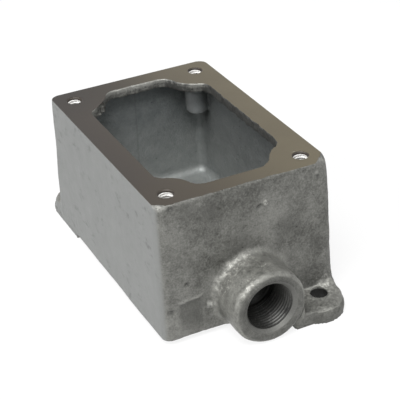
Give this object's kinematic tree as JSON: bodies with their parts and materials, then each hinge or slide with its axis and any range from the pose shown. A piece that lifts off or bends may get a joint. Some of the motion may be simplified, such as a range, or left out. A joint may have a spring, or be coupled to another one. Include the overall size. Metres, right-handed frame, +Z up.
{
  "type": "cast conduit switch box",
  "caption": "Deep rectangular cast box, open at the top, with a threaded conduit hub at one end, tapped corner holes for a cover and drilled mounting lugs at opposite corners.",
  "frame": {"origin": "on the plane of the feet, under the middle of the box", "axes": "+Z up, out of the open mouth; -Y out of the conduit hub; +X towards the side that has the lug beside the hub"},
  "size_m": [0.092, 0.1794, 0.074],
  "materials": {
    "cast_metal": "rough sand-cast, dull grey, with a machined cover face"
  },
  "bodies": {
    "root": {"box_casting": "cast_metal"}
  },
  "joints": []
}
